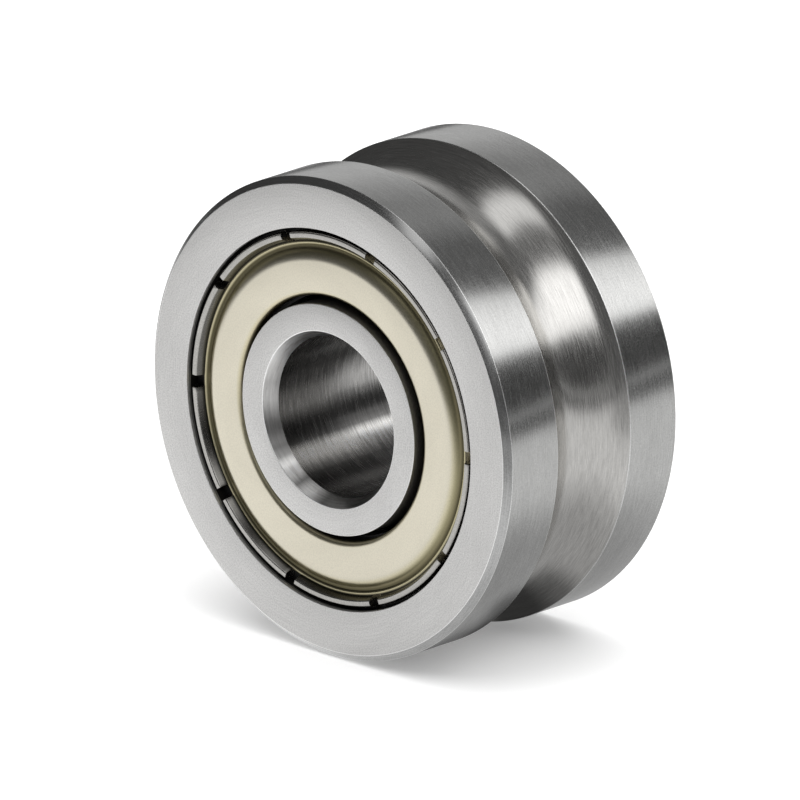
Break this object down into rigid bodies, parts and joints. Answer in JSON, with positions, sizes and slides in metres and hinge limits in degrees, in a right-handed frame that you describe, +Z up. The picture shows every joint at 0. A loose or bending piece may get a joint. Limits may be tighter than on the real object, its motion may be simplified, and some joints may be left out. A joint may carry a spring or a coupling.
{
  "type": "u-groove track roller",
  "caption": "Round-grooved steel guide roller that runs along a round rail on two rows of balls, with a pressed shield on each face and a plain bore.",
  "frame": {"origin": "centre of the bore at mid-width", "axes": "+Y along the axis of rotation, from the front face towards the rear face; +Z up"},
  "size_m": [0.024, 0.012, 0.024],
  "materials": {
    "bearing_steel": "ground and brushed round the axis, bright edges",
    "shield_sheet": "pale gold passivated sheet with bare steel petals, satin",
    "ball_steel": "polished",
    "cage_polymer": "matt black"
  },
  "bodies": {
    "inner_ring": {"inner_ring": "bearing_steel"},
    "roller": {"outer_ring": "bearing_steel", "front_shield": "shield_sheet", "rear_shield": "shield_sheet"},
    "front_cage": {"front_cage": "cage_polymer"},
    "ball_front_01": {"ball_front_01": "ball_steel"},
    "ball_front_02": {"ball_front_02": "ball_steel"},
    "ball_front_03": {"ball_front_03": "ball_steel"},
    "ball_front_04": {"ball_front_04": "ball_steel"},
    "ball_front_05": {"ball_front_05": "ball_steel"},
    "ball_front_06": {"ball_front_06": "ball_steel"},
    "ball_front_07": {"ball_front_07": "ball_steel"},
    "ball_front_08": {"ball_front_08": "ball_steel"},
    "ball_front_09": {"ball_front_09": "ball_steel"},
    "ball_front_10": {"ball_front_10": "ball_steel"},
    "rear_cage": {"rear_cage": "cage_polymer"},
    "ball_rear_01": {"ball_rear_01": "ball_steel"},
    "ball_rear_02": {"ball_rear_02": "ball_steel"},
    "ball_rear_03": {"ball_rear_03": "ball_steel"},
    "ball_rear_04": {"ball_rear_04": "ball_steel"},
    "ball_rear_05": {"ball_rear_05": "ball_steel"},
    "ball_rear_06": {"ball_rear_06": "ball_steel"},
    "ball_rear_07": {"ball_rear_07": "ball_steel"},
    "ball_rear_08": {"ball_rear_08": "ball_steel"},
    "ball_rear_09": {"ball_rear_09": "ball_steel"},
    "ball_rear_10": {"ball_rear_10": "ball_steel"}
  },
  "joints": [
    {"name": "roller_spin", "type": "hinge", "parent": "inner_ring", "child": "roller", "pos_m": [0, 0, 0], "axis": [0, 1, 0], "continuous": true},
    {"name": "front_cage_turn", "type": "hinge", "parent": "inner_ring", "child": "front_cage", "pos_m": [0, -0.0026, 0], "axis": [0, 1, 0], "continuous": true},
    {"name": "ball_front_01_spin", "type": "hinge", "parent": "front_cage", "child": "ball_front_01", "pos_m": [0.00681, -0.0026, -0.00108], "axis": [0, 1, 0], "continuous": true},
    {"name": "ball_front_02_spin", "type": "hinge", "parent": "front_cage", "child": "ball_front_02", "pos_m": [0.00615, -0.0026, 0.00313], "axis": [0, 1, 0], "continuous": true},
    {"name": "ball_front_03_spin", "type": "hinge", "parent": "front_cage", "child": "ball_front_03", "pos_m": [0.00313, -0.0026, 0.00615], "axis": [0, 1, 0], "continuous": true},
    {"name": "ball_front_04_spin", "type": "hinge", "parent": "front_cage", "child": "ball_front_04", "pos_m": [-0.00108, -0.0026, 0.00681], "axis": [0, 1, 0], "continuous": true},
    {"name": "ball_front_05_spin", "type": "hinge", "parent": "front_cage", "child": "ball_front_05", "pos_m": [-0.00488, -0.0026, 0.00488], "axis": [0, 1, 0], "continuous": true},
    {"name": "ball_front_06_spin", "type": "hinge", "parent": "front_cage", "child": "ball_front_06", "pos_m": [-0.00681, -0.0026, 0.00108], "axis": [0, 1, 0], "continuous": true},
    {"name": "ball_front_07_spin", "type": "hinge", "parent": "front_cage", "child": "ball_front_07", "pos_m": [-0.00615, -0.0026, -0.00313], "axis": [0, 1, 0], "continuous": true},
    {"name": "ball_front_08_spin", "type": "hinge", "parent": "front_cage", "child": "ball_front_08", "pos_m": [-0.00313, -0.0026, -0.00615], "axis": [0, 1, 0], "continuous": true},
    {"name": "ball_front_09_spin", "type": "hinge", "parent": "front_cage", "child": "ball_front_09", "pos_m": [0.00108, -0.0026, -0.00681], "axis": [0, 1, 0], "continuous": true},
    {"name": "ball_front_10_spin", "type": "hinge", "parent": "front_cage", "child": "ball_front_10", "pos_m": [0.00488, -0.0026, -0.00488], "axis": [0, 1, 0], "continuous": true},
    {"name": "rear_cage_turn", "type": "hinge", "parent": "inner_ring", "child": "rear_cage", "pos_m": [0, 0.0026, 0], "axis": [0, 1, 0], "continuous": true},
    {"name": "ball_rear_01_spin", "type": "hinge", "parent": "rear_cage", "child": "ball_rear_01", "pos_m": [0.00681, 0.0026, 0.00108], "axis": [0, 1, 0], "continuous": true},
    {"name": "ball_rear_02_spin", "type": "hinge", "parent": "rear_cage", "child": "ball_rear_02", "pos_m": [0.00488, 0.0026, 0.00488], "axis": [0, 1, 0], "continuous": true},
    {"name": "ball_rear_03_spin", "type": "hinge", "parent": "rear_cage", "child": "ball_rear_03", "pos_m": [0.00108, 0.0026, 0.00681], "axis": [0, 1, 0], "continuous": true},
    {"name": "ball_rear_04_spin", "type": "hinge", "parent": "rear_cage", "child": "ball_rear_04", "pos_m": [-0.00313, 0.0026, 0.00615], "axis": [0, 1, 0], "continuous": true},
    {"name": "ball_rear_05_spin", "type": "hinge", "parent": "rear_cage", "child": "ball_rear_05", "pos_m": [-0.00615, 0.0026, 0.00313], "axis": [0, 1, 0], "continuous": true},
    {"name": "ball_rear_06_spin", "type": "hinge", "parent": "rear_cage", "child": "ball_rear_06", "pos_m": [-0.00681, 0.0026, -0.00108], "axis": [0, 1, 0], "continuous": true},
    {"name": "ball_rear_07_spin", "type": "hinge", "parent": "rear_cage", "child": "ball_rear_07", "pos_m": [-0.00488, 0.0026, -0.00488], "axis": [0, 1, 0], "continuous": true},
    {"name": "ball_rear_08_spin", "type": "hinge", "parent": "rear_cage", "child": "ball_rear_08", "pos_m": [-0.00108, 0.0026, -0.00681], "axis": [0, 1, 0], "continuous": true},
    {"name": "ball_rear_09_spin", "type": "hinge", "parent": "rear_cage", "child": "ball_rear_09", "pos_m": [0.00313, 0.0026, -0.00615], "axis": [0, 1, 0], "continuous": true},
    {"name": "ball_rear_10_spin", "type": "hinge", "parent": "rear_cage", "child": "ball_rear_10", "pos_m": [0.00615, 0.0026, -0.00313], "axis": [0, 1, 0], "continuous": true}
  ],
  "couplings": [
    {"joint": "front_cage_turn", "follows": "roller_spin", "ratio": 0.61508},
    {"joint": "ball_front_01_spin", "follows": "roller_spin", "ratio": 2.0574},
    {"joint": "ball_front_02_spin", "follows": "roller_spin", "ratio": 2.0574},
    {"joint": "ball_front_03_spin", "follows": "roller_spin", "ratio": 2.0574},
    {"joint": "ball_front_04_spin", "follows": "roller_spin", "ratio": 2.0574},
    {"joint": "ball_front_05_spin", "follows": "roller_spin", "ratio": 2.0574},
    {"joint": "ball_front_06_spin", "follows": "roller_spin", "ratio": 2.0574},
    {"joint": "ball_front_07_spin", "follows": "roller_spin", "ratio": 2.0574},
    {"joint": "ball_front_08_spin", "follows": "roller_spin", "ratio": 2.0574},
    {"joint": "ball_front_09_spin", "follows": "roller_spin", "ratio": 2.0574},
    {"joint": "ball_front_10_spin", "follows": "roller_spin", "ratio": 2.0574},
    {"joint": "rear_cage_turn", "follows": "roller_spin", "ratio": 0.61508},
    {"joint": "ball_rear_01_spin", "follows": "roller_spin", "ratio": 2.0574},
    {"joint": "ball_rear_02_spin", "follows": "roller_spin", "ratio": 2.0574},
    {"joint": "ball_rear_03_spin", "follows": "roller_spin", "ratio": 2.0574},
    {"joint": "ball_rear_04_spin", "follows": "roller_spin", "ratio": 2.0574},
    {"joint": "ball_rear_05_spin", "follows": "roller_spin", "ratio": 2.0574},
    {"joint": "ball_rear_06_spin", "follows": "roller_spin", "ratio": 2.0574},
    {"joint": "ball_rear_07_spin", "follows": "roller_spin", "ratio": 2.0574},
    {"joint": "ball_rear_08_spin", "follows": "roller_spin", "ratio": 2.0574},
    {"joint": "ball_rear_09_spin", "follows": "roller_spin", "ratio": 2.0574},
    {"joint": "ball_rear_10_spin", "follows": "roller_spin", "ratio": 2.0574}
  ]
}
